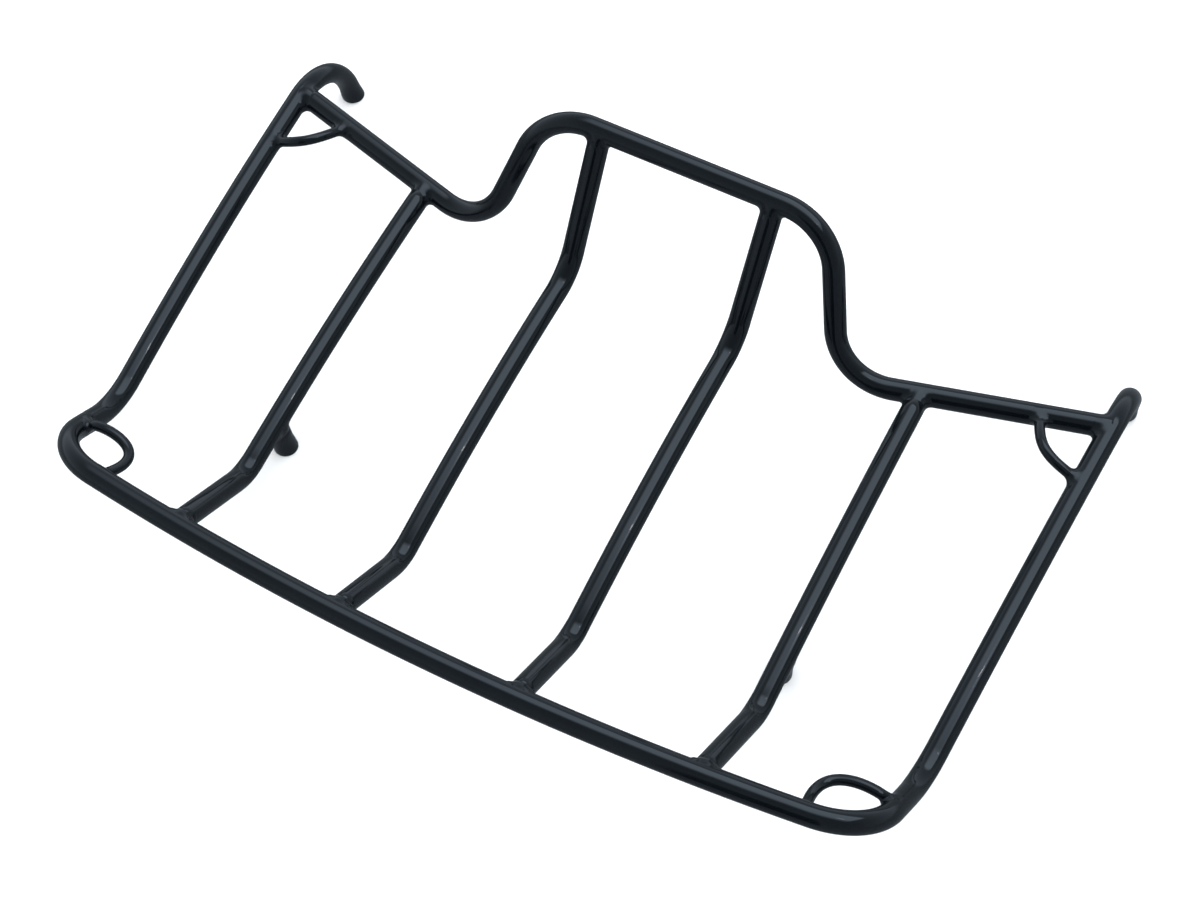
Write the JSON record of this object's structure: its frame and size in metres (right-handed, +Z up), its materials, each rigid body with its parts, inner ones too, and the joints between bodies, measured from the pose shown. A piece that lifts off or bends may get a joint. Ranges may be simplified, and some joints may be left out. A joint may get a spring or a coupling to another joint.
{
  "type": "luggage rack",
  "caption": "Welded tubular luggage rack for a motorcycle trunk lid: bowed front rail, crowned slats, raised rear hoop, corner tie-down eyes, threaded mounting feet.",
  "frame": {"origin": "centre of the rack in plan, on the plane of its four feet", "axes": "+X to the rack's right side, +Y towards the hoop and the curled rear feet, +Z up"},
  "size_m": [0.5326, 0.3556, 0.1336],
  "materials": {
    "frame": "gloss black powder coat on steel tube",
    "weld": "gloss black powder coat over weld beads",
    "thread": "zinc-plated steel, uncoated"
  },
  "bodies": {
    "root": {"perimeter_rail": "frame", "back_rail": "frame", "outer_slat_left": "frame", "inner_slat_left": "frame", "outer_slat_right": "frame", "inner_slat_right": "frame", "front_tie_eye_left": "frame", "back_tie_eye_left": "frame", "front_tie_eye_right": "frame", "back_tie_eye_right": "frame", "mounting_post_left": "frame", "mounting_post_right": "frame", "outer_slat_left_front_weld": "weld", "outer_slat_left_back_weld": "weld", "inner_slat_left_front_weld": "weld", "inner_slat_left_back_weld": "weld", "front_tie_eye_left_rail_weld": "weld", "front_tie_eye_left_side_weld": "weld", "back_tie_eye_left_rail_weld": "weld", "back_tie_eye_left_side_weld": "weld", "mounting_post_left_weld": "weld", "back_rail_left_weld": "weld", "outer_slat_right_front_weld": "weld", "outer_slat_right_back_weld": "weld", "inner_slat_right_front_weld": "weld", "inner_slat_right_back_weld": "weld", "front_tie_eye_right_rail_weld": "weld", "front_tie_eye_right_side_weld": "weld", "back_tie_eye_right_rail_weld": "weld", "back_tie_eye_right_side_weld": "weld", "mounting_post_right_weld": "weld", "back_rail_right_weld": "weld", "foot_plug_left": "thread", "foot_plug_right": "thread"}
  },
  "joints": []
}
